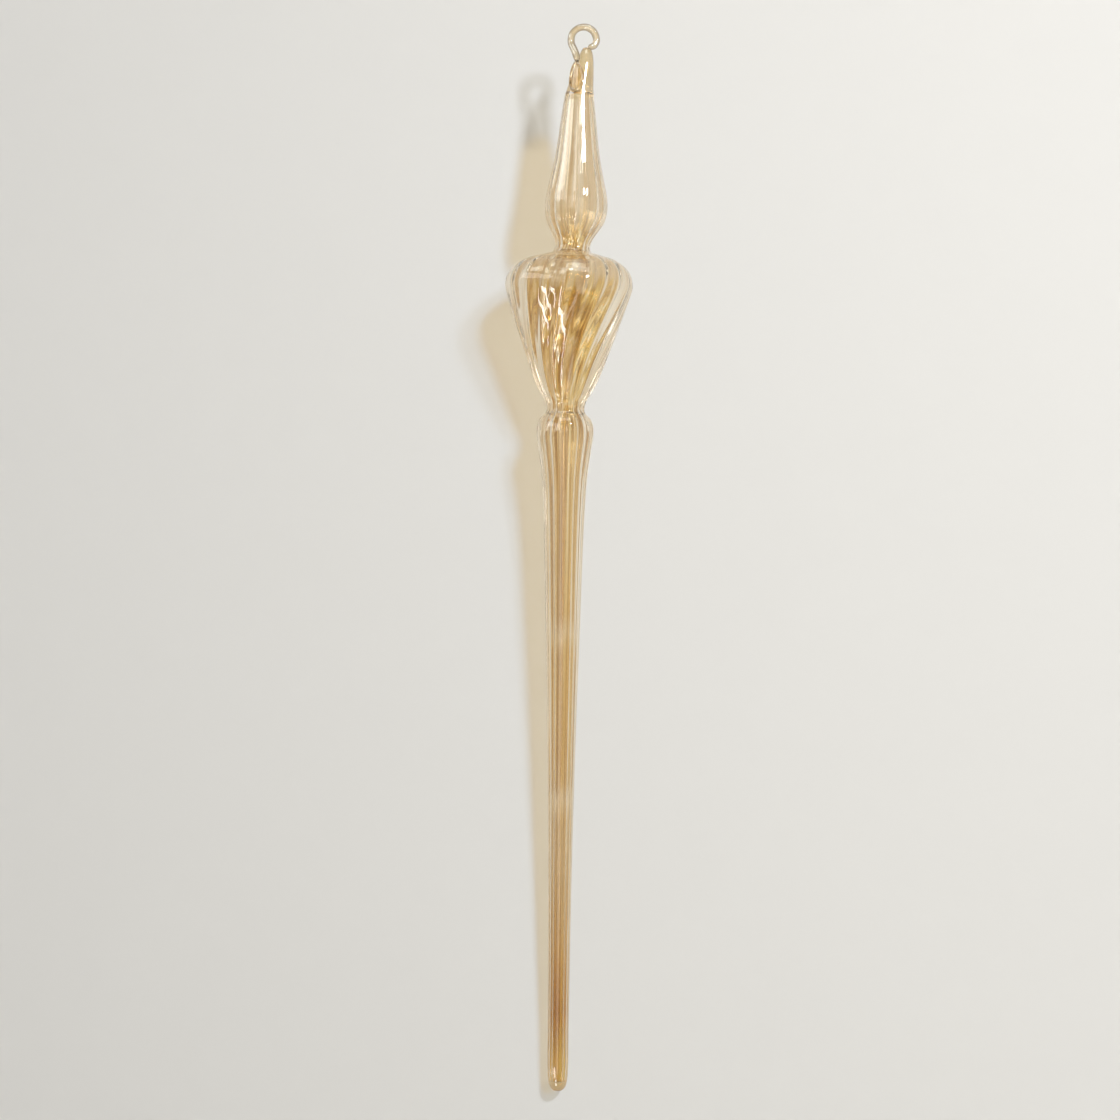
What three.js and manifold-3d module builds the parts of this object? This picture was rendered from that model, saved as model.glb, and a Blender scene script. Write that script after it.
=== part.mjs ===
// A mouth-blown glass icicle ornament, hanging by its hook.
// Millimetres, +Z up, +Y to the back. The origin is the top of the hook's eye, where a thread bears,
// and the sealed tip hangs straight below it. Depths are counted down from the origin.
//
// The body is one thick-walled tube of glass, drawn in at two waists into a finial, a bulb and a long stem.
// Its solids are cut across the wall where the glassmaker closes or joins one length to the next.

import * as THREE from "three";
import { mergeVertices } from "three/addons/utils/BufferGeometryUtils.js";
import Module from "manifold-3d";

const wasm = await Module();
wasm.setup();

// Driving dimensions
const SEAM_GAP = 0.3; // clearance left between neighbouring solids

const RIB_COUNT = 16; // ribs left by the optic mould, all round
const RIB_RELIEF = 0.006; // height of a rib as a share of the radius
const BULB_TWIST = THREE.MathUtils.degToRad(36); // turn of the ribs from the bulb's top to its foot

const ROD_RADIUS = 0.92; // the hook's glass rod
const EYE_RADIUS = 3.58; // the hook's eye, to the middle of the rod
const HOOK_SETBACK = -1.3; // the eye's plane, just in front of the axis

const PAD = { depth: 13.2, x: -1.9, y: -3.05, halfWidth: 2.25, halfHeight: 4.4, halfThickness: 1.3 };

const RING_SIDES = 64; // facets round the body
const ROD_SIDES = 12;
const ROD_STEPS = 56;

// The outside of the glass from the crown down to the sealed tip, as depth and radius.
const CROWN = [[4.5, 0], [4.8, 0.95], [5.9, 1.65], [8.1, 2.2], [10.9, 2.75], [13.7, 3.25], [16.4, 3.72]];
const FINIAL = [[18.2, 4.05], [24.9, 4.9], [30.5, 5.55], [36.1, 6.35], [41.7, 7.5], [46.6, 8.4],
  [50.4, 8.65], [53.4, 8.05], [56.0, 6.7]];
const UPPER_WAIST = [[58.3, 5.4], [60.2, 4.85]];
const BULB = [[61.8, 5.3], [62.7, 8.0], [64.2, 12.7], [66.2, 15.7], [68.6, 17.3], [71.4, 17.85],
  [74.4, 17.2], [80.9, 15.1], [86.5, 13.05], [92.1, 11.1], [97.7, 9.0], [101.0, 7.4]];
const LOWER_WAIST = [[103.6, 5.8], [105.6, 5.3], [107.0, 5.6]];
const STEM = [[108.6, 7.1], [110.4, 7.85], [112.8, 8.0], [117.3, 7.4], [125.0, 6.4], [135.0, 5.8], [148.1, 5.35],
  [164.9, 4.9], [187.3, 4.25], [209.7, 3.75], [232.1, 3.35], [254.5, 3.1], [276.9, 2.95]];
const TIP = [[293.4, 2.7], [295.6, 2.15], [296.6, 1.15], [296.8, 0]];

// The bore inside it, from its closed top in the crown to its closed end just short of the tip.
const CROWN_BORE = [[16.6, 0], [16.8, 1.4], [17.4, 2.5]];
const FINIAL_BORE = [[18.2, 3.15], [24.9, 4.25], [30.5, 4.9], [36.1, 5.6], [41.7, 6.5], [46.6, 7.15],
  [50.2, 7.25], [53.2, 6.5], [55.9, 5.1]];
const UPPER_WAIST_BORE = [[58.3, 3.9], [60.2, 3.4]];
const BULB_BORE = [[61.8, 3.5], [63.6, 5.0], [65.2, 8.6], [66.8, 11.6], [68.8, 12.95], [70.8, 13.2], [72.4, 12.9],
  [74.4, 12.35], [80.9, 10.5], [86.5, 8.9], [92.1, 7.25], [97.7, 5.6], [101.0, 4.5]];
const LOWER_WAIST_BORE = [[103.6, 3.5], [105.6, 3.3], [107.0, 3.4]];
const STEM_BORE = [[108.6, 4.0], [111.0, 5.1], [113.6, 5.35], [117.3, 4.95], [125.0, 4.2], [135.0, 3.8], [148.1, 3.5],
  [164.9, 3.2], [187.3, 2.85], [209.7, 2.6], [232.1, 2.4], [254.5, 2.25], [276.9, 2.15]];
const TIP_BORE = [[293.4, 1.95], [294.2, 1.4], [294.5, 0]];

const DEPTHS = { crown: 4.5, crownBase: 20, waistTop: 50, waistBase: 71, stemTop: 112, tip: 296.8 };
const SWAY = { crown: 0.9, finial: -0.9, bulb: -2.5 }; // how far each length stands off the plumb line

const outside = outlineThrough([CROWN, FINIAL, UPPER_WAIST, BULB, LOWER_WAIST, STEM, TIP]);
const bore = outlineThrough([CROWN_BORE, FINIAL_BORE, UPPER_WAIST_BORE, BULB_BORE, LOWER_WAIST_BORE, STEM_BORE,
  TIP_BORE]);

const glass = new THREE.MeshStandardMaterial({ color: 0xdcb877, roughness: 0.06, metalness: 0.1 });
const paleGlass = new THREE.MeshStandardMaterial({ color: 0xe8cf9c, roughness: 0.06, metalness: 0.1 });

/** One smooth outline through all the sections, with the points it was drawn through. */
function outlineThrough(sections) {
  const points = sections.flat();
  const curve = new THREE.CatmullRomCurve3(
    points.map(([depth, radius]) => new THREE.Vector3(radius, -depth, 0)), false, "centripetal");
  return { points, curve };
}

/** The axis of the hand-made body, which bows a little to one side between the hook and the tip. */
function sway(depth) {
  const { smoothstep, clamp } = THREE.MathUtils;
  const toFinial = (SWAY.finial - SWAY.crown) * smoothstep(depth, DEPTHS.crown, DEPTHS.crownBase);
  const toBulb = (SWAY.bulb - SWAY.finial) * smoothstep(depth, DEPTHS.waistTop, DEPTHS.waistBase);
  const toTip = -SWAY.bulb * clamp((depth - DEPTHS.stemTop) / (DEPTHS.tip - DEPTHS.stemTop), 0, 1);
  return SWAY.crown + toFinial + toBulb + toTip;
}

/** The angle that the ribs have turned through: straight on the finial and stem, twisted on the bulb. */
function twist(depth) {
  return BULB_TWIST * THREE.MathUtils.smoothstep(depth, BULB[0][0], LOWER_WAIST[0][0]);
}

/** A closed mesh with each shared corner stored once. */
function closed(geometry) {
  geometry.deleteAttribute("normal");
  geometry.deleteAttribute("uv");
  const merged = mergeVertices(geometry, 1e-4);
  merged.computeVertexNormals();
  return merged;
}

/** Turns a lathed outline into drawn glass: upright, ribbed by the mould and bowed along the body. */
function drawn(lathe) {
  lathe.rotateX(Math.PI / 2);
  const position = lathe.getAttribute("position");
  const point = new THREE.Vector3();
  for (let i = 0; i < position.count; i += 1) {
    point.fromBufferAttribute(position, i);
    const depth = -point.z;
    const angle = Math.atan2(point.y, point.x) + twist(depth);
    const swell = 1 + RIB_RELIEF * Math.cos(RIB_COUNT * angle);
    position.setXYZ(i, point.x * swell + sway(depth), point.y * swell, point.z);
  }
  return closed(lathe);
}

/** Points down one section of an outline, trimmed to leave a gap where the next piece of glass is fused on. */
function lengthOf({ points, curve }, section, rowsPerSpan) {
  const first = points.indexOf(section[0]);
  const last = Math.min(first + section.length, points.length - 1);
  const rows = (last - first) * rowsPerSpan;
  return Array.from({ length: rows + 1 }, (_, row) => {
    const t = (first + row / rowsPerSpan) / (points.length - 1);
    const point = curve.getPoint(t);
    const tangent = curve.getTangent(t);
    const atTop = row === 0 && first > 0;
    const atFoot = row === rows && last < points.length - 1;
    if (atTop || atFoot) point.addScaledVector(tangent, (atTop ? -0.5 : 0.5) * SEAM_GAP / tangent.y);
    return new THREE.Vector2(point.x < 1e-6 ? 0 : point.x, point.y);
  });
}

/** A length of the body: the glass between its outside and its bore. */
function wall(section, boreSection, rowsPerSpan) {
  const outer = lengthOf(outside, section, rowsPerSpan);
  const inner = lengthOf(bore, boreSection, rowsPerSpan).reverse();
  const closedTop = outer[0].x === 0;
  const closedFoot = outer.at(-1).x === 0;
  const profile = closedFoot ? [...inner, ...outer] : [...outer, ...inner];
  if (!closedTop && !closedFoot) profile.push(outer[0]);
  return drawn(new THREE.LatheGeometry(profile.reverse(), RING_SIDES));
}

function toManifold(geometry) {
  const mesh = { numProp: 3, vertProperties: geometry.getAttribute("position").array,
    triVerts: Uint32Array.from(geometry.getIndex().array) };
  return new wasm.Manifold(new wasm.Mesh(mesh));
}

function fromManifold(solidBody) {
  const { vertProperties, triVerts } = solidBody.getMesh();
  const geometry = new THREE.BufferGeometry();
  geometry.setAttribute("position", new THREE.BufferAttribute(vertProperties, 3));
  geometry.setIndex(new THREE.BufferAttribute(triVerts, 1));
  geometry.computeVertexNormals();
  return geometry;
}

/** The middle of the hook's rod: up from the pad, round the eye and curled in at the free end. */
function hookPath() {
  const eyeCentre = new THREE.Vector3(0, HOOK_SETBACK, ROD_RADIUS - EYE_RADIUS);
  const leg = [[-1.75, -3.1, -8.2], [-2.05, -2.9, -7.2], [-2.55, -2.5, -6.0], [-3.1, -1.9, -4.6]];
  const curl = [[3.4, -1.5, -3.5], [2.85, -1.8, -4.35], [2.1, -2.1, -4.6], [1.5, -2.3, -4.1]];
  const eye = [];
  for (let degrees = 195; degrees >= 0; degrees -= 39) {
    const angle = THREE.MathUtils.degToRad(degrees);
    eye.push(new THREE.Vector3(Math.cos(angle), 0, Math.sin(angle)).multiplyScalar(EYE_RADIUS).add(eyeCentre));
  }
  const points = [...leg, ...curl].map(([x, y, z]) => new THREE.Vector3(x, y, z));
  return new THREE.CatmullRomCurve3([...points.slice(0, leg.length), ...eye, ...points.slice(leg.length)]);
}

/** The hook: a bent glass rod, with its free end melted round. */
function hook() {
  const path = hookPath();
  const section = new THREE.Shape(new THREE.Path().absarc(0, 0, ROD_RADIUS, 0, 2 * Math.PI).getPoints(ROD_SIDES / 2));
  const rod = new THREE.ExtrudeGeometry(section, { extrudePath: path, steps: ROD_STEPS, bevelEnabled: false });
  const bead = new THREE.SphereGeometry(ROD_RADIUS, ROD_SIDES, ROD_SIDES / 2).translate(...path.getPoint(1));
  return fromManifold(toManifold(closed(rod)).add(toManifold(closed(bead))));
}

/** The oval foot of the hook, pressed on to the front of the crown. */
function pad(crown) {
  const oval = new THREE.SphereGeometry(1, 32, 20);
  oval.scale(PAD.halfWidth, PAD.halfThickness, PAD.halfHeight);
  oval.rotateZ(Math.atan2(PAD.x - sway(PAD.depth), -PAD.y));
  oval.translate(PAD.x, PAD.y, -PAD.depth);
  const room = crown.clone();
  const centre = sway(PAD.depth);
  const widen = 1 + SEAM_GAP / (CROWN.at(-2)[1]);
  room.translate(-centre, 0, 0).scale(widen, widen, 1).translate(centre, 0, 0);
  return fromManifold(toManifold(closed(oval)).subtract(toManifold(room)));
}

function piece(name, geometry, material) {
  const mesh = new THREE.Mesh(geometry, material);
  mesh.name = name;
  return mesh;
}

const crown = wall(CROWN, CROWN_BORE, 1);
const ornament = new THREE.Group();
ornament.add(
  piece("hook_loop", hook(), paleGlass),
  piece("hook_pad", pad(crown), paleGlass),
  piece("finial_crown", crown, paleGlass),
  piece("finial_shell", wall(FINIAL, FINIAL_BORE, 1), glass),
  piece("upper_waist", wall(UPPER_WAIST, UPPER_WAIST_BORE, 2), paleGlass),
  piece("bulb_shell", wall(BULB, BULB_BORE, 1), glass),
  piece("lower_waist", wall(LOWER_WAIST, LOWER_WAIST_BORE, 1), paleGlass),
  piece("stem_shell", wall(STEM, STEM_BORE, 1), glass),
  piece("stem_tip", wall(TIP, TIP_BORE, 1), paleGlass),
);

export default ornament;
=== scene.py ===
import math

import bpy
import numpy as np
from mathutils import Matrix, Vector


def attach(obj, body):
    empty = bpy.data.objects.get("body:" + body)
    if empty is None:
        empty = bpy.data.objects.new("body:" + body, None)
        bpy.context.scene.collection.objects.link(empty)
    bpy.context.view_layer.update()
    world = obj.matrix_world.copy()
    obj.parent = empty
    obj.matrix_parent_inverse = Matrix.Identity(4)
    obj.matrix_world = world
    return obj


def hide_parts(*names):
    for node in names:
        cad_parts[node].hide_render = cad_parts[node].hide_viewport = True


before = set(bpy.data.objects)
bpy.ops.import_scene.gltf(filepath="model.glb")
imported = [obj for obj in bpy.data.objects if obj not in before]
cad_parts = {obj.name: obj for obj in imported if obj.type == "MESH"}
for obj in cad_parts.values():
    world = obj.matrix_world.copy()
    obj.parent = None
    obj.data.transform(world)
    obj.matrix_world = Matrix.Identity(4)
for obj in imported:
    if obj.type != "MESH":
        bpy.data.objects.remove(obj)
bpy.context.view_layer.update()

# Looks for a mouth-blown glass icicle ornament, hanging by its hook. Metres, +Z up, as in the frame.
# The glass is drawn as one continuous skin in nine pieces: the outside, and the bore inside it.
# Neighbouring pieces meet edge to edge, as fused glass does, with no face across the joint.

MM = 0.001

# ---------------------------------------------------------------- sizes, in millimetres

BODY_SIDES = 224  # facets round the body
ROW_PITCH = 0.7  # distance between rings down the body

RIB_COUNT = 16
RIB_CREST = 0.3  # share of the second wave, which makes a rib's crest narrower than its trough
# Relief of the ribs as a share of the radius, by depth: fuller where the glass was blown out less.
RIBS_OUTSIDE = [(4, 0), (18, 0.004), (55, 0.006), (66, 0.003), (100, 0.003), (112, 0.005), (290, 0.004)]
RIBS_INSIDE = [(16, 0), (20, 0.008), (55, 0.020), (66, 0.010), (100, 0.011), (112, 0.020), (290, 0.026)]
BULB_TWIST = math.radians(36)

UNEVENNESS = 0.006  # of the radius, as in any wall blown by hand
# The waves it is made of: share, lobes round the body, mm of depth to a radian, and start.
WAVES = [(0.4, 2, 31, 0), (0.35, 3, -17, 1.3), (0.25, 5, 9, 0.6)]

# How many streaks the colour makes round the body, by depth: fewest where the glass is drawn thin.
STREAKS = [(18, 4.5), (56, 5.0), (62, 8.0), (101, 7.0), (108, 5.2), (290, 3.8)]

ROD_RADIUS = 0.92
ROD_SIDES = 32
ROD_PITCH = 0.2
EYE_RADIUS = 3.58  # to the middle of the rod
HOOK_FORWARD = -1.3  # the plane of the eye stands this far in front of the body's axis

# The pad's middle and half sizes. Upright is how far it turns from the crown's slope towards the plumb line.
PAD = {"depth": 13.1, "x": -2.0, "y": -3.0, "half_width": 2.35, "half_height": 4.5, "upright": 0.24}
PAD_RADIUS = 3.3  # the crown's where the pad lies
PAD_BACK = 0.05  # clear of the crown
PAD_STREAKS = 6
DISH_HEIGHT, RIM_HEIGHT = 0.50, 0.45  # the rim's is on top of the dish's
DISH_EDGE, RIM_TOP = 0.62, 0.86  # where the rim starts and where it is full, from 0 in the middle to 1

# The body from the crown down to the sealed tip, as depth below the eye and radius.
# Each section runs on to the first point of the next.
CROWN = [(4.5, 0), (4.8, 0.95), (5.9, 1.65), (8.1, 2.2), (10.9, 2.75), (13.7, 3.25), (16.4, 3.72)]
FINIAL = [(18.2, 4.05), (24.9, 4.9), (30.5, 5.55), (36.1, 6.35), (41.7, 7.5), (46.0, 8.42),
          (48.4, 8.68), (50.6, 8.6), (53.4, 8.05), (56.0, 6.7)]
UPPER_WAIST = [(58.3, 5.4), (60.2, 4.85)]
BULB = [(61.8, 5.3), (62.7, 8.0), (64.2, 12.7), (66.2, 15.7), (68.6, 17.3), (71.4, 17.85),
        (74.4, 17.2), (80.9, 15.1), (86.5, 13.05), (92.1, 11.1), (97.7, 9.0), (101.0, 7.4)]
LOWER_WAIST = [(103.6, 5.8), (105.6, 5.3), (107.0, 5.6)]
STEM = [(108.6, 7.1), (110.4, 7.85), (112.8, 8.0), (117.3, 7.4), (125.0, 6.4), (135.0, 5.8), (148.1, 5.35),
        (164.9, 4.9), (187.3, 4.25), (209.7, 3.75), (232.1, 3.35), (254.5, 3.1), (276.9, 2.95)]
SEALED_TIP = [(293.4, 2.7), (295.6, 2.15), (296.6, 1.15), (296.8, 0)]

# The bore inside it, which starts in the crown and ends just short of the tip.
CROWN_BORE = [(16.6, 0), (16.8, 1.4), (17.4, 2.5)]
FINIAL_BORE = [(18.2, 3.15), (24.9, 4.25), (30.5, 4.9), (36.1, 5.6), (41.7, 6.5), (46.6, 7.15),
               (50.2, 7.25), (53.2, 6.5), (55.9, 5.1)]
UPPER_WAIST_BORE = [(58.3, 3.9), (60.2, 3.4)]
BULB_BORE = [(61.8, 3.5), (63.6, 5.0), (65.2, 8.6), (66.8, 11.6), (68.8, 12.95), (70.8, 13.2), (72.4, 12.9),
             (74.4, 12.35), (80.9, 10.5), (86.5, 8.9), (92.1, 7.25), (97.7, 5.6), (101.0, 4.5)]
LOWER_WAIST_BORE = [(103.6, 3.5), (105.6, 3.3), (107.0, 3.4)]
STEM_BORE = [(108.6, 4.0), (111.0, 5.1), (113.6, 5.35), (117.3, 4.95), (125.0, 4.2), (135.0, 3.8),
             (148.1, 3.5), (164.9, 3.2), (187.3, 2.85), (209.7, 2.6), (232.1, 2.4), (254.5, 2.25),
             (276.9, 2.15)]
TIP_BORE = [(293.4, 1.95), (294.2, 1.4), (294.5, 0)]

OUTSIDE = [CROWN, FINIAL, UPPER_WAIST, BULB, LOWER_WAIST, STEM, SEALED_TIP]
BORE = [CROWN_BORE, FINIAL_BORE, UPPER_WAIST_BORE, BULB_BORE, LOWER_WAIST_BORE, STEM_BORE, TIP_BORE]

# The depths between which the axis bows, and how far it stands off the plumb line at each part.
CROWN_TOP, CROWN_BASE = 4.5, 20
WAIST_TOP, WAIST_BASE = 50, 71
STEM_TOP, TIP = 112, 296.8
SWAY_CROWN, SWAY_FINIAL, SWAY_BULB = 0.9, -0.9, -2.5


def smoothstep(x, low, high):
    t = np.clip((x - low) / (high - low), 0, 1)
    return t * t * (3 - 2 * t)


def sway(depth):
    """How far along X the axis stands at a depth. It bows a little between the hook and the tip."""
    to_finial = (SWAY_FINIAL - SWAY_CROWN) * smoothstep(depth, CROWN_TOP, CROWN_BASE)
    to_bulb = (SWAY_BULB - SWAY_FINIAL) * smoothstep(depth, WAIST_TOP, WAIST_BASE)
    to_tip = -SWAY_BULB * np.clip((depth - STEM_TOP) / (TIP - STEM_TOP), 0, 1)
    return SWAY_CROWN + to_finial + to_bulb + to_tip


def twist(depth):
    """How far the ribs have turned: straight on the finial and stem, twisted on the bulb."""
    return BULB_TWIST * smoothstep(depth, BULB[0][0], LOWER_WAIST[0][0])


# ---------------------------------------------------------------- curves

def spline(points, pitch):
    """A centripetal Catmull-Rom curve through points. Returns its rows, and the row at each point."""
    points = np.asarray(points, float)
    padded = np.vstack([2 * points[0] - points[1], points, 2 * points[-1] - points[-2]])
    rows, starts = [], []
    for i in range(len(points) - 1):
        a, b, c, d = padded[i:i + 4]
        before, span, after = (math.sqrt(np.linalg.norm(q - p)) for p, q in ((a, b), (b, c), (c, d)))
        leave = span * ((b - a) / before - (c - a) / (before + span) + (c - b) / span)
        arrive = span * ((c - b) / span - (d - b) / (span + after) + (d - c) / after)
        steps = max(3, math.ceil(np.linalg.norm(c - b) / pitch))
        starts.append(len(rows))
        for step in range(steps):
            t = step / steps
            rows.append((2 * t**3 - 3 * t**2 + 1) * b + (t**3 - 2 * t**2 + t) * leave
                        + (3 * t**2 - 2 * t**3) * c + (t**3 - t**2) * arrive)
    starts.append(len(rows))
    rows.append(points[-1])
    return np.array(rows), starts


# ---------------------------------------------------------------- meshes

def mesh_object(name, vertices, faces, materials, face_materials=None, around=None, normals=None):
    """A smooth mesh from points in millimetres. Around is where each point lies against the mould."""
    mesh = bpy.data.meshes.new(name)
    mesh.from_pydata([tuple(v) for v in np.asarray(vertices) * MM], [], faces)
    for material in materials:
        mesh.materials.append(material)
    if face_materials is not None:
        mesh.polygons.foreach_set("material_index", face_materials)
    mesh.polygons.foreach_set("use_smooth", [True] * len(mesh.polygons))
    if around is not None:
        place = mesh.attributes.new("around", "FLOAT_VECTOR", "POINT")
        place.data.foreach_set("vector", np.asarray(around, float).ravel())
    mesh.update()
    if normals is not None:
        mesh.normals_split_custom_set_from_vertices(normals)
    obj = bpy.data.objects.new(name, mesh)
    bpy.context.scene.collection.objects.link(obj)
    return obj


class Skin:
    """One face of the whole body, outside or bore, as rings of points with their normals."""

    def __init__(self, sections, ribs, facing):
        rows, starts = spline([point for section in sections for point in section], ROW_PITCH)
        self.depths = rows[:, 0]
        self.radii = np.where(rows[:, 1] < 1e-6, 0, rows[:, 1])
        self.facing = facing
        firsts = np.cumsum([0] + [len(section) for section in sections])
        ends = [starts[min(first, len(starts) - 1)] for first in firsts]
        self.spans = [(a, b + 1) for a, b in zip(ends, ends[1:])]
        depth, radius = self.depths[:, None], self.radii[:, None]
        theta = np.linspace(0, 2 * np.pi, BODY_SIDES, endpoint=False)[None, :]
        turn = theta + twist(depth)
        phase = RIB_COUNT * turn
        rib = np.interp(depth, *zip(*ribs)) * (np.cos(phase) + RIB_CREST * np.cos(2 * phase))
        uneven = sum(share * np.sin(lobes * theta + depth / length + start)
                     for share, lobes, length, start in WAVES)
        r = radius * (1 + rib + UNEVENNESS * uneven)
        level = depth + 0 * theta
        self.points = np.stack([r * np.cos(theta) + sway(depth), r * np.sin(theta), -level], axis=2)
        crowding = np.interp(depth, *zip(*STREAKS))
        self.around = np.stack([crowding * np.cos(turn), crowding * np.sin(turn), level / 10], axis=2)
        down = np.gradient(self.points, axis=0)
        across = np.roll(self.points, -1, axis=1) - np.roll(self.points, 1, axis=1)
        normals = np.cross(down, across) * facing
        length = np.linalg.norm(normals, axis=2, keepdims=True)
        self.normals = normals / np.maximum(length, 1e-12)
        for end, way in ((0, 1), (-1, -1)):
            if self.radii[end] == 0:
                self.normals[end] = (0, 0, way * facing)

    def piece(self, section, start):
        """The points, places against the mould, normals and faces of one section."""
        first, last = self.spans[section]
        points, around, normals, rings, faces = [], [], [], [], []
        for row in range(first, last):
            sides = 1 if self.radii[row] == 0 else BODY_SIDES
            base = start + len(points)
            rings.append([base + side % sides for side in range(BODY_SIDES)])
            points.extend(self.points[row, :sides])
            around.extend(self.around[row, :sides])
            normals.extend(self.normals[row, :sides])
        for upper, lower in zip(rings, rings[1:]):
            for side in range(BODY_SIDES):
                after = (side + 1) % BODY_SIDES
                corners = list(dict.fromkeys([upper[side], lower[side], lower[after], upper[after]]))
                faces.append(corners[::self.facing])
        return points, around, normals, faces


def blown(name, section, wall):
    """A length of the body: its outside, and its bore. Both are open where the next piece goes on."""
    outer, outer_around, outer_normals, outer_faces = OUTER_SKIN.piece(section, 0)
    inner, inner_around, inner_normals, inner_faces = INNER_SKIN.piece(section, len(outer))
    marks = [0] * len(outer_faces) + [1] * len(inner_faces)
    return mesh_object(name, outer + inner, outer_faces + inner_faces, [wall, amber], marks,
                       outer_around + inner_around, outer_normals + inner_normals)


def swept(name, points, radii, material):
    """A round rod along a path, with both ends closed."""
    points = np.asarray(points, float)
    tangents = np.gradient(points, axis=0)
    tangents /= np.linalg.norm(tangents, axis=1)[:, None]
    side = np.cross(tangents[0], (0, 1, 0))
    vertices, faces = [], []
    for point, tangent, radius in zip(points, tangents, radii):
        side = side - tangent * (side @ tangent)
        side /= np.linalg.norm(side)
        across = np.cross(tangent, side)
        for k in range(ROD_SIDES):
            turn = 2 * np.pi * k / ROD_SIDES
            vertices.append(point + radius * (math.cos(turn) * side + math.sin(turn) * across))
    last = len(points) - 1
    for ring in range(last):
        for k in range(ROD_SIDES):
            a, b = ring * ROD_SIDES + k, ring * ROD_SIDES + (k + 1) % ROD_SIDES
            faces.append([a, b, b + ROD_SIDES, a + ROD_SIDES])
    faces.append(list(range(ROD_SIDES))[::-1])
    faces.append([last * ROD_SIDES + k for k in range(ROD_SIDES)])
    return mesh_object(name, vertices, faces, [material])


def hook_points():
    """The middle of the hook's rod: up from the pad, round the eye and curled in at the free end."""
    eye_z = ROD_RADIUS - EYE_RADIUS
    leg = [(-1.75, -2.7, -9.2), (-1.8, -3.0, -8.2), (-2.3, -2.7, -6.4), (-3.1, -1.9, -4.6)]
    turns = [math.radians(degrees) for degrees in range(195, -1, -39)]
    eye = [(EYE_RADIUS * math.cos(turn), HOOK_FORWARD, eye_z + EYE_RADIUS * math.sin(turn)) for turn in turns]
    curl = [(3.4, -1.5, -3.5), (2.85, -1.8, -4.35), (2.1, -2.1, -4.6), (1.5, -2.3, -4.1)]
    return leg + eye + curl


def make_hook():
    """The bent rod. It thins out at its foot, and narrows a little to a melted, rounded free end."""
    path, _ = spline(hook_points(), ROD_PITCH)
    along = np.concatenate([[0], np.cumsum(np.linalg.norm(np.diff(path, axis=0), axis=1))])
    left = along[-1] - along
    rounded = np.sqrt(np.clip(1 - np.clip(1 - left / ROD_RADIUS, 0, 1) ** 2, 0.0004, 1))
    foot = 1 - 0.85 * np.exp(-along / 0.6)
    uneven = 1 + 0.03 * np.sin(along / 2.3) + 0.02 * np.sin(along / 1.1 + 1)
    melted = 0.96 + 0.12 * smoothstep(left, 0, 5)
    return swept("hook_rod", path, ROD_RADIUS * rounded * foot * uneven * melted, rod)


def make_pad():
    """The hook's foot, wrapped on the front of the crown: a drop shape with a raised rim and a clear dish."""
    rings, back_rings, sides = 26, 6, 72
    dish_glass_to = 0.74
    facing = math.atan2(PAD["y"], PAD["x"] - sway(PAD["depth"]))

    def place(v, turn, lift):
        """The point v of the way from the pad's middle to its edge, lifted off the crown."""
        rise = math.sin(turn)
        depth = PAD["depth"] - PAD["half_height"] * v * (rise + 0.10 * max(0.0, rise) ** 6)
        narrow = 1 - 0.30 * max(0.0, rise * v) ** 2
        radius = float(np.interp(depth, OUTER_SKIN.depths, OUTER_SKIN.radii))
        angle = facing + PAD["half_width"] * v * math.cos(turn) * narrow / PAD_RADIUS
        reach = radius + lift
        x = sway(depth) + reach * math.cos(angle) + PAD["upright"] * (depth - PAD["depth"])
        point = (x, reach * math.sin(angle), -depth)
        return point, (PAD_STREAKS * math.cos(angle), PAD_STREAKS * math.sin(angle), depth / 10)

    def front(v):
        rim = smoothstep(v, DISH_EDGE, RIM_TOP)
        return PAD_BACK + (DISH_HEIGHT + RIM_HEIGHT * rim) * math.sqrt(max(0.0, 1 - v**9))

    levels = [(1 - (1 - ring / rings) ** 1.5, None) for ring in range(1, rings + 1)]
    levels += [(ring / back_rings * 0.985, PAD_BACK) for ring in range(back_rings, 0, -1)]
    places = [place(0, 0, front(0))]
    for v, lift in levels:
        height = front(v) if lift is None else lift
        places += [place(v, 2 * math.pi * k / sides, height) for k in range(sides)]
    places.append(place(0, 0, PAD_BACK))
    faces = [[0, 1 + k, 1 + (k + 1) % sides] for k in range(sides)]
    marks = [1] * sides
    for ring, (v, lift) in enumerate(levels[:-1]):
        base = 1 + ring * sides
        marks += [1 if lift is None and v < dish_glass_to else 0] * sides
        for k in range(sides):
            after = (k + 1) % sides
            faces.append([base + k, base + sides + k, base + sides + after, base + after])
    base, end = 1 + (len(levels) - 1) * sides, len(places) - 1
    faces += [[end, base + (k + 1) % sides, base + k] for k in range(sides)]
    marks += [0] * sides
    points, around = zip(*places)
    return mesh_object("hook_foot", points, faces, [rod, clear], marks, around)


# ---------------------------------------------------------------- materials

# How much of the luster is missing, by depth in centimetres: most on the finial, and much of it in
# short bands at the bulb's shoulder and down the stem.
LUSTER_LOST = [(4.9, 0.85), (5.7, 0.0), (6.2, 0.1), (6.5, 0.6), (6.95, 0.6), (7.1, 0.0), (10.4, 0.0),
               (11.2, 0.22), (16.3, 0.22), (16.8, 0.65), (17.3, 0.2), (20.9, 0.15), (21.4, 0.75),
               (22.0, 0.32), (25.5, 0.25), (27.5, 0.0)]
RAGGED = 1.8  # how far its edges wander, in centimetres
POOL_START, POOL_FULL = 23.5, 27.5  # where it pooled towards the tip
STREAK_CHANGE = 0.06  # along the body, beside about 1 across it, so the streaks are long and thin
PATCH_STRETCH = (0.25, 0.25, 0.55)
GLASS_IOR = 1.5


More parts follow.
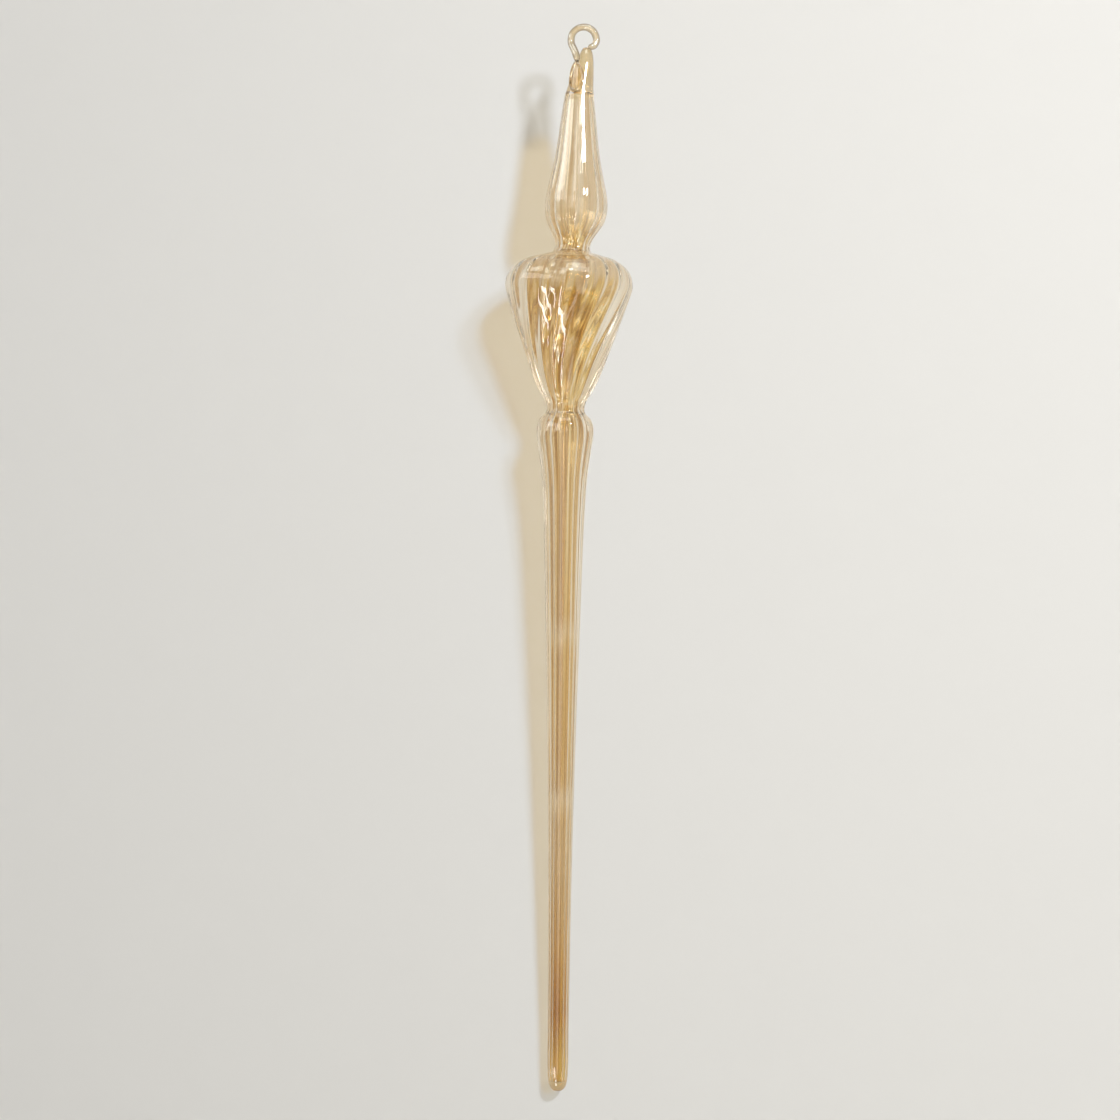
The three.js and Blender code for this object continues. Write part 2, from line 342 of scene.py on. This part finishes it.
def streaks(nodes, links, fine, stops):
    """Colour that runs in streaks down the mould's ribs, finer as fine is higher, in the colours of stops."""
    place = nodes.new("ShaderNodeAttribute")
    place.attribute_name = "around"
    stretch = nodes.new("ShaderNodeVectorMath")
    stretch.operation = "MULTIPLY"
    stretch.inputs[1].default_value = (fine, fine, STREAK_CHANGE)
    noise = nodes.new("ShaderNodeTexNoise")
    noise.inputs["Scale"].default_value = 1
    noise.inputs["Detail"].default_value = 2
    noise.inputs["Roughness"].default_value = 0.5
    links.new(place.outputs["Vector"], stretch.inputs[0])
    links.new(stretch.outputs[0], noise.inputs["Vector"])
    return ramped(nodes, links, noise.outputs[0], stops)


def ramped(nodes, links, value, stops):
    """A value turned into the colours of stops, which are positions with their colours."""
    ramp = nodes.new("ShaderNodeValToRGB")
    elements = ramp.color_ramp.elements
    for element, (position, colour) in zip(elements, (stops[0], stops[-1])):
        element.position = position
        element.color = (*colour, 1)
    for position, colour in stops[1:-1]:
        elements.new(position).color = (*colour, 1)
    links.new(value, ramp.inputs[0])
    return ramp.outputs[0]


def at_edges(nodes, links, middle, edge, sharpness):
    """Colour by how squarely the surface is seen, from middle, square on, to edge, at a glance. In a base
    colour this is painted shade towards the rim, standing in for light crossing thick glass at a glance; in a
    shadow it tints the light let through.
    """
    facing = nodes.new("ShaderNodeLayerWeight")
    facing.inputs["Blend"].default_value = 0.5
    steep = nodes.new("ShaderNodeMath")
    mix = nodes.new("ShaderNodeMix")
    steep.operation = "POWER"
    steep.inputs[1].default_value = sharpness
    mix.data_type = "RGBA"
    for socket, colour in (("A", middle), ("B", edge)):
        end = [i for i in mix.inputs if i.name == socket and i.type == "RGBA"][0]
        if isinstance(colour, tuple):
            end.default_value = (*colour, 1)
        else:
            links.new(colour, end)
    links.new(facing.outputs["Facing"], steep.inputs[0])
    links.new(steep.outputs[0], mix.inputs[0])
    return [o for o in mix.outputs if o.type == "RGBA"][0]


def glass(name, shadow, shadow_edge, film=None):
    """Clear glass, with a luster film (thickness in nm, IOR) if there is one. Its shadow is tinted."""
    material = bpy.data.materials.new(name)
    material.use_nodes = True
    nodes, links = material.node_tree.nodes, material.node_tree.links
    surface = nodes["Principled BSDF"]
    surface.inputs["Transmission Weight"].default_value = 1.0
    surface.inputs["IOR"].default_value = GLASS_IOR
    surface.inputs["Roughness"].default_value = 0.0
    if film:
        surface.inputs["Thin Film Thickness"].default_value = film[0]
        surface.inputs["Thin Film IOR"].default_value = film[1]
    through = nodes.new("ShaderNodeBsdfTransparent")
    links.new(at_edges(nodes, links, shadow, shadow_edge, 3), through.inputs["Color"])
    path = nodes.new("ShaderNodeLightPath")
    mix = nodes.new("ShaderNodeMixShader")
    links.new(path.outputs["Is Shadow Ray"], mix.inputs[0])
    links.new(surface.outputs[0], mix.inputs[1])
    links.new(through.outputs[0], mix.inputs[2])
    links.new(mix.outputs[0], nodes["Material Output"].inputs["Surface"])
    return material


def clear_glass():
    """The thick wall of the hollow parts, clear with a faint warm tint in streaks, and a painted shade
    towards its edges where it is seen at a glance.
    """
    material = glass("clear_glass", shadow=(0.96, 0.94, 0.91), shadow_edge=(0.86, 0.82, 0.75))
    nodes, links = material.node_tree.nodes, material.node_tree.links
    tints = [(0.38, (0.76, 0.58, 0.36)), (0.47, (0.91, 0.80, 0.62)), (0.58, (0.97, 0.91, 0.79))]
    middle = streaks(nodes, links, 0.9, tints)
    # Painted shade: darker towards the edges seen at a glance, standing in for light crossing the thick wall.
    colour = at_edges(nodes, links, middle, edge=(0.75, 0.58, 0.37), sharpness=2.5)
    links.new(colour, nodes["Principled BSDF"].inputs["Base Color"])
    return material


def solid_glass(name, pale_part, deep_part, shaded_outline, sharpness):
    """Solid amber glass in two shades, with a painted shade towards its edges, where light crosses it at a
    glance.
    """
    material = glass(name, shadow=(0.80, 0.77, 0.71), shadow_edge=(0.56, 0.52, 0.45), film=(50, 1.8))
    nodes, links = material.node_tree.nodes, material.node_tree.links
    place = nodes.new("ShaderNodeTexCoord")
    noise = nodes.new("ShaderNodeTexNoise")
    noise.inputs["Scale"].default_value = 260  # clouds about 4 mm across
    links.new(place.outputs["Object"], noise.inputs["Vector"])
    middle = ramped(nodes, links, noise.outputs[0], [(0.35, deep_part), (0.65, pale_part)])
    # Painted shade: the colour darkens towards the edges seen at a glance.
    colour = at_edges(nodes, links, middle, shaded_outline, sharpness)
    links.new(colour, nodes["Principled BSDF"].inputs["Base Color"])
    return material


def amber_bore():
    """The amber luster inside the bore, which ran down the ribs in streaks before it was fired. Its palest
    streaks are also a painted highlight, standing in for the cream lines of reflected light down the stem;
    where the luster is thin, painted shade darkens the edges seen at a glance.
    """
    material = glass("amber_bore", shadow=(0.93, 0.84, 0.65), shadow_edge=(0.80, 0.66, 0.44), film=(62, 1.85))
    nodes, links = material.node_tree.nodes, material.node_tree.links
    # Streaks of the luster's own amber; the palest, near white, is a painted highlight standing in for the
    # lines of reflected light.
    amber_and_highlight_streaks = [(0.38, (0.36, 0.17, 0.01)), (0.46, (0.71, 0.44, 0.08)), (0.53, (0.88, 0.65, 0.22)),
              (0.60, (1.0, 0.95, 0.78))]
    full = streaks(nodes, links, 1.0, amber_and_highlight_streaks)
    # Where the luster is thin: pale glass, with painted shade towards the edges seen at a glance.
    thin = at_edges(nodes, links, (0.97, 0.93, 0.86), edge=(0.74, 0.55, 0.26), sharpness=3)
    mix, pool, near_tip = (nodes.new("ShaderNode" + kind) for kind in ("MixRGB", "MixRGB", "MapRange"))
    links.new(thin_luster(nodes, links), mix.inputs[0])
    links.new(full, mix.inputs[1])
    links.new(thin, mix.inputs[2])
    pool.blend_type = "MULTIPLY"
    pool.inputs[2].default_value = (0.80, 0.58, 0.14, 1)
    near_tip.inputs["From Min"].default_value = POOL_START
    near_tip.inputs["From Max"].default_value = POOL_FULL
    parts = next(n for n in nodes if n.type == "SEPXYZ")
    links.new(parts.outputs["Z"], near_tip.inputs["Value"])
    links.new(near_tip.outputs[0], pool.inputs[0])
    links.new(mix.outputs[0], pool.inputs[1])
    links.new(pool.outputs[0], nodes["Principled BSDF"].inputs["Base Color"])
    return material


def thin_luster(nodes, links):
    """How thin the luster has run: whichever is more, by depth or in patches."""
    place = next(n for n in nodes if n.type == "ATTRIBUTE")
    streak = next(n for n in nodes if n.type == "TEX_NOISE")
    most = nodes.new("ShaderNodeMath")
    most.operation = "MAXIMUM"
    links.new(thin_by_depth(nodes, links, place, streak), most.inputs[0])
    links.new(thin_in_patches(nodes, links, place), most.inputs[1])
    return most.outputs[0]


def thin_by_depth(nodes, links, place, streak):
    """LUSTER_LOST as a ramp. Its edges are ragged, because the streaks move them up and down."""
    parts, ragged, share, by_depth = (nodes.new("ShaderNode" + kind)
                                      for kind in ("SeparateXYZ", "Math", "Math", "ValToRGB"))
    ragged.operation = "MULTIPLY_ADD"
    ragged.inputs[1].default_value = RAGGED
    share.operation = "DIVIDE"
    share.inputs[1].default_value = TIP / 10
    ramp = by_depth.color_ramp
    for k, (depth, lost) in enumerate(LUSTER_LOST):
        position = (depth + RAGGED / 2) / (TIP / 10)
        stop = ramp.elements[0] if k == 0 else ramp.elements.new(position)
        stop.position = position
        stop.color = (lost, lost, lost, 1)
    links.new(place.outputs["Vector"], parts.inputs[0])
    links.new(streak.outputs[0], ragged.inputs[0])
    links.new(parts.outputs["Z"], ragged.inputs[2])
    links.new(ragged.outputs[0], share.inputs[0])
    links.new(share.outputs[0], by_depth.inputs[0])
    return by_depth.outputs[0]


def thin_in_patches(nodes, links, place):
    """A few patches, taller than they are wide, where the luster is partly worn."""
    stretch = nodes.new("ShaderNodeVectorMath")
    noise = nodes.new("ShaderNodeTexNoise")
    patch = nodes.new("ShaderNodeMapRange")
    stretch.operation = "MULTIPLY"
    stretch.inputs[1].default_value = PATCH_STRETCH
    noise.inputs["Scale"].default_value = 1
    noise.inputs["Detail"].default_value = 1
    for name, value in (("From Min", 0.56), ("From Max", 0.70), ("To Min", 0.0), ("To Max", 0.4)):
        patch.inputs[name].default_value = value
    links.new(place.outputs["Vector"], stretch.inputs[0])
    links.new(stretch.outputs[0], noise.inputs["Vector"])
    links.new(noise.outputs[0], patch.inputs["Value"])
    return patch.outputs[0]


def pale(name, colour, seen_from_behind):
    """Matt pale studio surface. One not seen from behind is clear to a camera there, and the object shows."""
    material = bpy.data.materials.new(name)
    material.use_nodes = True
    nodes, links = material.node_tree.nodes, material.node_tree.links
    surface = nodes["Principled BSDF"]
    surface.inputs["Base Color"].default_value = (*colour, 1)
    surface.inputs["Roughness"].default_value = 0.9
    surface.inputs["Specular IOR Level"].default_value = 0.1
    if seen_from_behind:
        return material
    geometry, path, both, through, mix = (nodes.new("ShaderNode" + kind) for kind in (
        "NewGeometry", "LightPath", "Math", "BsdfTransparent", "MixShader"))
    both.operation = "MULTIPLY"
    links.new(geometry.outputs["Backfacing"], both.inputs[0])
    links.new(path.outputs["Is Camera Ray"], both.inputs[1])
    links.new(both.outputs[0], mix.inputs[0])
    links.new(surface.outputs[0], mix.inputs[1])
    links.new(through.outputs[0], mix.inputs[2])
    links.new(mix.outputs[0], nodes["Material Output"].inputs["Surface"])
    return material


clear = clear_glass()
amber = amber_bore()
# Both have painted shade towards their edges; the rod's is nearly black, standing in for the dark rims a
# glass rod shows where light crosses it at a glance.
solid = solid_glass("solid_glass", pale_part=(0.91, 0.76, 0.48), deep_part=(0.82, 0.63, 0.32),
                    shaded_outline=(0.36, 0.20, 0.06), sharpness=1.0)
rod = solid_glass("rod_glass", pale_part=(0.95, 0.82, 0.58), deep_part=(0.87, 0.68, 0.40),
                  shaded_outline=(0.04, 0.002, 0.0), sharpness=0.65)

# ---------------------------------------------------------------- the object

OUTER_SKIN = Skin(OUTSIDE, RIBS_OUTSIDE, 1)
INNER_SKIN = Skin(BORE, RIBS_INSIDE, -1)
BODY = [("finial_crown", "solid_glass"), ("finial_shell", "blown_glass"), ("upper_waist", "waist_glass"),
        ("bulb_shell", "blown_glass"), ("lower_waist", "waist_glass"), ("stem_shell", "blown_glass"),
        ("stem_tip", "solid_glass")]
pieces = [(make_hook(), "hook_loop", "hook_glass"), (make_pad(), "hook_pad", "hook_glass")]
for section, (node, slot) in enumerate(BODY):
    wall = solid if slot == "solid_glass" else clear
    pieces.append((blown(node + "_glass", section, wall), node, slot))
for piece, node, slot in pieces:
    piece.visible_diffuse = False
    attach(piece, "root")
    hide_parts(node)

# ---------------------------------------------------------------- stage

FLOOR_Z = -330
FLOOR_HALF = 8000
BACKDROP_HALF_WIDTH, BACKDROP_TOP = 450, 420
BULB_Z, BEHIND_BULB = -71.4, 18.6  # the widest part of the bulb, and the backdrop just behind it
BACKDROP_LEAN = 0.066  # along Y for one along Z
PLASTER = (0.80, 0.79, 0.76)


def backdrop_y(z):
    """The backdrop leans back a little, so that it all but touches both the bulb and the sealed tip."""
    return BEHIND_BULB + (z - BULB_Z) * BACKDROP_LEAN


def flat(name, corners, material):
    plane = mesh_object(name, corners, [[0, 1, 2, 3]], [material])
    return plane


flat("backdrop", [(-BACKDROP_HALF_WIDTH, backdrop_y(FLOOR_Z), FLOOR_Z),
                  (BACKDROP_HALF_WIDTH, backdrop_y(FLOOR_Z), FLOOR_Z),
                  (BACKDROP_HALF_WIDTH, backdrop_y(BACKDROP_TOP), BACKDROP_TOP),
                  (-BACKDROP_HALF_WIDTH, backdrop_y(BACKDROP_TOP), BACKDROP_TOP)],
     pale("backdrop_plaster", PLASTER, False))
floor = flat("floor", [(-FLOOR_HALF, -FLOOR_HALF, FLOOR_Z), (FLOOR_HALF, -FLOOR_HALF, FLOOR_Z),
                       (FLOOR_HALF, FLOOR_HALF, FLOOR_Z), (-FLOOR_HALF, FLOOR_HALF, FLOOR_Z)],
             pale("floor_plaster", PLASTER, True))
# The glass shows the room where the floor is.
floor.visible_glossy = False
floor.visible_transmission = False

# ---------------------------------------------------------------- light

AIM = Vector((-0.002, 0, -0.11))
ROOM_BEHIND, ROOM_BEFORE = (0.80, 0.79, 0.76), (0.60, 0.47, 0.30)
SEEN_BACKGROUND, FILL_LIGHT = (0.775, 0.77, 0.745), (1.0, 0.98, 0.95)


def softbox(name, azimuth, elevation, distance, width, height, watts):
    """A rectangular lamp facing the object. Azimuth 0 is the camera's side, turning towards +X."""
    data = bpy.data.lights.new(name, "AREA")
    data.shape = "RECTANGLE"
    data.size = width
    data.size_y = height
    data.energy = watts
    lamp = bpy.data.objects.new(name, data)
    bpy.context.scene.collection.objects.link(lamp)
    az = math.radians(azimuth)
    el = math.radians(elevation)
    way = Vector((math.sin(az) * math.cos(el), -math.cos(az) * math.cos(el), math.sin(el)))
    lamp.location = AIM + way * distance
    lamp.rotation_euler = way.to_track_quat("Z", "Y").to_euler()
    lamp.visible_camera = False
    return lamp


softbox("key", azimuth=29, elevation=28, distance=1.1, width=0.12, height=0.15, watts=9.0)
softbox("fill", azimuth=-20, elevation=10, distance=1.3, width=0.6, height=0.6, watts=1.1)

# These lamps show in the glass and don't light the plaster: they make the lines down the bulb and stem, the
# pale strips on the left of the finial, and the glow on the shoulders.
strip = softbox("strip", azimuth=-14, elevation=-36, distance=1.2, width=0.07, height=0.62, watts=2.4)
thread = softbox("thread", azimuth=-10, elevation=-10.5, distance=1.2, width=0.26, height=0.60, watts=0.9)
window = softbox("window", azimuth=-76, elevation=24, distance=1.3, width=2.3, height=0.42, watts=9.1)
panes = [softbox(f"pane_{azimuth}", azimuth, elevation=-25, distance=1.1, width=0.05, height=0.14, watts=0.35)
         for azimuth in (-56, -45, -34)]
overhead = softbox("overhead", azimuth=8, elevation=58, distance=1.2, width=0.9, height=0.45, watts=4.0)
for lamp in (strip, thread, window, overhead, *panes):
    lamp.visible_diffuse = False


def studio_world():
    """A pale room, dimmer and warmer in front, which shows in the glass. It lights matt things only dimly."""
    world = bpy.data.worlds.new("studio")
    bpy.context.scene.world = world
    world.use_nodes = True
    nodes, links = world.node_tree.nodes, world.node_tree.links
    room = nodes["Background"]
    seen = nodes.new("ShaderNodeBackground")
    fill = nodes.new("ShaderNodeBackground")
    seen.inputs["Color"].default_value = (*SEEN_BACKGROUND, 1)
    fill.inputs["Color"].default_value = (*FILL_LIGHT, 1)
    fill.inputs["Strength"].default_value = 0.1
    place, axes, fade = (nodes.new("ShaderNode" + kind) for kind in ("TexCoord", "SeparateXYZ", "MapRange"))
    fade.inputs["From Min"].default_value = -0.9
    fade.inputs["From Max"].default_value = 0.1
    links.new(place.outputs["Generated"], axes.inputs[0])
    links.new(axes.outputs["Y"], fade.inputs["Value"])
    colour = ramped(nodes, links, fade.outputs[0], [(0, ROOM_BEFORE), (1, ROOM_BEHIND)])
    links.new(colour, room.inputs["Color"])
    path, first, second = (nodes.new("ShaderNode" + kind) for kind in ("LightPath", "MixShader", "MixShader"))
    links.new(path.outputs["Is Diffuse Ray"], first.inputs[0])
    links.new(room.outputs[0], first.inputs[1])
    links.new(fill.outputs[0], first.inputs[2])
    links.new(path.outputs["Is Camera Ray"], second.inputs[0])
    links.new(first.outputs[0], second.inputs[1])
    links.new(seen.outputs[0], second.inputs[2])
    links.new(second.outputs[0], nodes["World Output"].inputs["Surface"])


studio_world()

scene = bpy.context.scene
scene.view_settings.view_transform = "Standard"
# Light bounces many times inside the thick wall before it leaves.
scene.cycles.max_bounces = 24
scene.cycles.glossy_bounces = 16
scene.cycles.transmission_bounces = 20

# ---------------------------------------------------------------- camera

VIEW_HEIGHT = 0.3136
VIEW_MIDDLE = Vector((-0.0030, 0, -0.1482))
ROLL = math.radians(1.43)
camera = bpy.data.cameras.new("camera")
camera.lens = 100
camera.sensor_width = 36
eye = bpy.data.objects.new("camera", camera)
scene.collection.objects.link(eye)
distance = VIEW_HEIGHT * camera.lens / camera.sensor_width
eye.matrix_world = (Matrix.Translation(VIEW_MIDDLE - Vector((0, distance, 0)))
                    @ Matrix.Rotation(math.radians(90), 4, "X") @ Matrix.Rotation(ROLL, 4, "Z"))
scene.camera = eye
